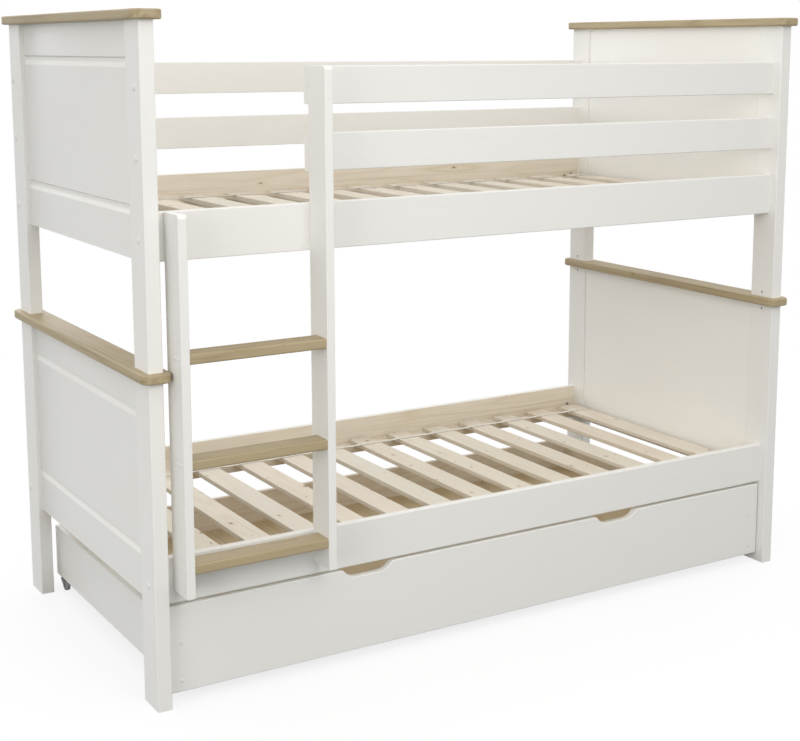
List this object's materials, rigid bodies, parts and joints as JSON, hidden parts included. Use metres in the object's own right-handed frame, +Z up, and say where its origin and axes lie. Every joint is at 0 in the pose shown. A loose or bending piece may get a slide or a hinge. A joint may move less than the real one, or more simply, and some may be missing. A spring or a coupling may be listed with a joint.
{
  "type": "bunk bed with trundle",
  "caption": "Painted wooden bunk bed of two stacked single beds with panelled ends, slatted bases, guard rails, a front ladder and a trundle on swivel castors.",
  "frame": {"origin": "on the floor, at the middle of the bounding box of the whole bed, ladder included", "axes": "+X along the bed to its right end, +Y from the ladder side to the wall side, +Z up"},
  "size_m": [2.12, 1.1104, 1.714],
  "materials": {
    "white_paint": "satin white paint on solid pine",
    "stone_wood": "stone-coloured stain, satin",
    "pine": "bare planed pine with knots",
    "base_wood": "bare plywood",
    "steel": "zinc plated",
    "dark_steel": "grey",
    "white_plastic": "satin",
    "grey_plastic": "satin",
    "webbing": "woven tape"
  },
  "bodies": {
    "bed": {"lower_post_lf": "white_paint", "lower_post_lr": "white_paint", "lower_post_rf": "white_paint", "lower_post_rr": "white_paint", "upper_post_lf": "white_paint", "upper_post_lr": "white_paint", "upper_post_rf": "white_paint", "upper_post_rr": "white_paint", "lower_panel_left": "white_paint", "lower_panel_right": "white_paint", "upper_panel_left": "white_paint", "upper_panel_right": "white_paint", "lower_cap_left": "stone_wood", "lower_cap_right": "stone_wood", "upper_cap_left": "stone_wood", "upper_cap_right": "stone_wood", "lower_rail_front": "white_paint", "lower_rail_rear": "white_paint", "upper_rail_front": "white_paint", "upper_rail_rear": "white_paint", "guard_front_low": "white_paint", "guard_front_high": "white_paint", "guard_rear_low": "white_paint", "guard_rear_high": "white_paint", "slat_ledgers": "pine", "lower_slats": "pine", "upper_slats": "pine", "slat_straps": "webbing", "ladder_upright_left": "white_paint", "ladder_upright_right": "white_paint", "tread_low": "stone_wood", "tread_middle": "stone_wood", "tread_high": "stone_wood", "tread_screws": "steel", "screw_covers": "white_plastic", "ladder_screws": "steel", "rail_bolts": "steel", "barrel_nuts": "steel", "bolt_covers": "white_plastic", "dowels": "pine", "joining_pins": "steel", "locking_screws": "dark_steel"},
    "trundle": {"trundle_front": "white_paint", "trundle_side_left": "white_paint", "trundle_side_right": "white_paint", "trundle_back": "pine", "trundle_base": "base_wood", "trundle_bearers": "pine", "trundle_screws": "steel", "trundle_covers": "white_plastic", "castor_sleeves": "grey_plastic"},
    "swivel_lf": {"castor_fork_lf": "dark_steel"},
    "swivel_lr": {"castor_fork_lr": "dark_steel"},
    "swivel_rf": {"castor_fork_rf": "dark_steel"},
    "swivel_rr": {"castor_fork_rr": "dark_steel"},
    "wheel_lf": {"castor_wheel_lf": "grey_plastic"},
    "wheel_lr": {"castor_wheel_lr": "grey_plastic"},
    "wheel_rf": {"castor_wheel_rf": "grey_plastic"},
    "wheel_rr": {"castor_wheel_rr": "grey_plastic"}
  },
  "joints": [
    {"name": "trundle_slide", "type": "slide", "parent": "bed", "child": "trundle", "axis": [0, -1, 0], "range_m": [0, 0.85]},
    {"name": "swivel_turn_lf", "type": "hinge", "parent": "trundle", "child": "swivel_lf", "pos_m": [-0.9645, -0.33975, 0.045], "axis": [0, 0, 1], "continuous": true},
    {"name": "swivel_turn_lr", "type": "hinge", "parent": "trundle", "child": "swivel_lr", "pos_m": [-0.9645, 0.46125, 0.045], "axis": [0, 0, 1], "continuous": true},
    {"name": "swivel_turn_rf", "type": "hinge", "parent": "trundle", "child": "swivel_rf", "pos_m": [0.9645, -0.33975, 0.045], "axis": [0, 0, 1], "continuous": true},
    {"name": "swivel_turn_rr", "type": "hinge", "parent": "trundle", "child": "swivel_rr", "pos_m": [0.9645, 0.46125, 0.045], "axis": [0, 0, 1], "continuous": true},
    {"name": "wheel_roll_lf", "type": "hinge", "parent": "swivel_lf", "child": "wheel_lf", "pos_m": [-0.9645, -0.36175, 0.0145], "axis": [1, 0, 0], "continuous": true},
    {"name": "wheel_roll_lr", "type": "hinge", "parent": "swivel_lr", "child": "wheel_lr", "pos_m": [-0.9645, 0.43925, 0.0145], "axis": [1, 0, 0], "continuous": true},
    {"name": "wheel_roll_rf", "type": "hinge", "parent": "swivel_rf", "child": "wheel_rf", "pos_m": [0.9645, -0.36175, 0.0145], "axis": [1, 0, 0], "continuous": true},
    {"name": "wheel_roll_rr", "type": "hinge", "parent": "swivel_rr", "child": "wheel_rr", "pos_m": [0.9645, 0.43925, 0.0145], "axis": [1, 0, 0], "continuous": true}
  ]
}
